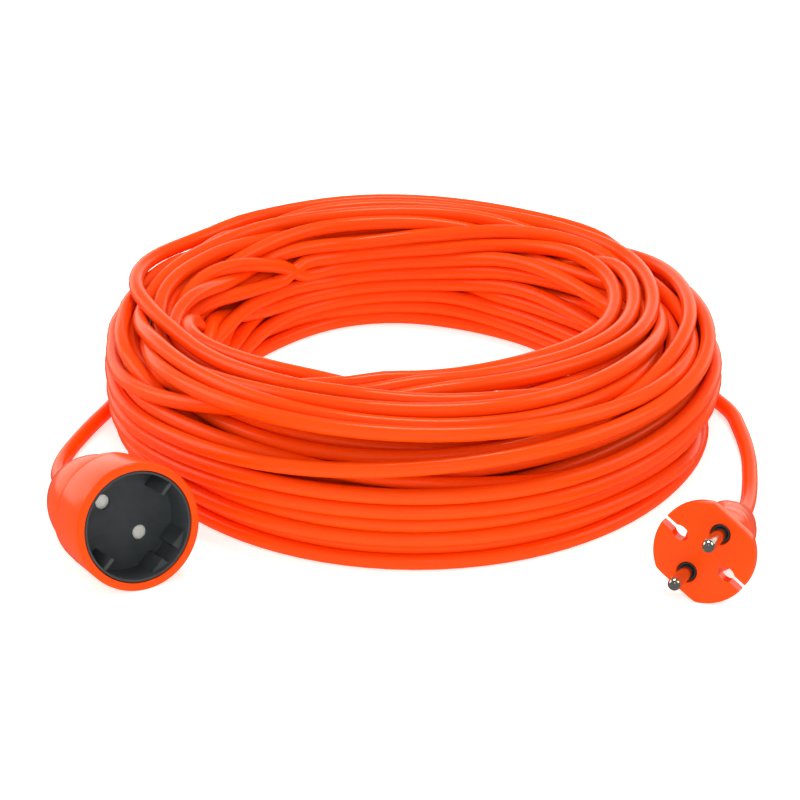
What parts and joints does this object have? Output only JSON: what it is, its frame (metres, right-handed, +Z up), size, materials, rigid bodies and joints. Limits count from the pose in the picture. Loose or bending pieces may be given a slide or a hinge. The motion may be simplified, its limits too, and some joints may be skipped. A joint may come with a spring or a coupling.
{
  "type": "extension cord",
  "caption": "Loose round coil of round orange flex with a moulded two-pole coupler socket at one end and a flat contour plug at the other, both lying in front of the coil.",
  "frame": {"origin": "middle of the coil, on the surface that the coil lies on", "axes": "+Z up along the coil's axis; -Y towards the two connectors, which lie in front of the coil; +X towards the plug"},
  "size_m": [0.2718, 0.2914, 0.0576],
  "materials": {
    "pvc_flex": "glossy extruded soft PVC",
    "pvc_moulding": "satin moulded PVC",
    "dark_polyamide": "fine satin moulded polyamide",
    "pale_polyamide": "smooth moulded polyamide",
    "nickel_plate": "bright nickel plate on brass",
    "brass": "stamped brass",
    "tinned_crimp": "dull tin plate",
    "bare_copper": "bare stranded copper",
    "spring_steel": "drawn wire",
    "brown_core": "extruded PVC insulation",
    "blue_core": "extruded PVC insulation"
  },
  "bodies": {
    "lead_set": {"cord_coil": "pvc_flex", "socket_lead": "pvc_flex", "plug_lead": "pvc_flex", "socket_overmould": "pvc_moulding", "socket_insert": "dark_polyamide", "socket_contact_carrier": "dark_polyamide", "shutter_spring": "spring_steel", "socket_contact_brown": "brass", "socket_contact_blue": "brass", "plug_overmould": "pvc_moulding", "plug_pin_bridge": "dark_polyamide", "plug_pin_brown": "nickel_plate", "plug_pin_blue": "nickel_plate", "socket_crimp_brown": "tinned_crimp", "socket_copper_brown": "bare_copper", "socket_core_brown": "brown_core", "socket_crimp_blue": "tinned_crimp", "socket_copper_blue": "bare_copper", "socket_core_blue": "blue_core", "socket_sheath_end": "pvc_flex", "plug_crimp_brown": "tinned_crimp", "plug_copper_brown": "bare_copper", "plug_core_brown": "brown_core", "plug_crimp_blue": "tinned_crimp", "plug_copper_blue": "bare_copper", "plug_core_blue": "blue_core", "plug_sheath_end": "pvc_flex"},
    "shutter": {"shutter_rotor": "pale_polyamide"}
  },
  "joints": [
    {"name": "shutter_turn", "type": "hinge", "parent": "lead_set", "child": "shutter", "pos_m": [-0.1075, -0.12469, 0.01923], "axis": [0.4602, -0.8655, 0.1977], "range_deg": [0, 42], "stiffness_Nm_per_rad": 0.002, "springref_deg": -20.05, "deforming": ["shutter_spring"]}
  ]
}
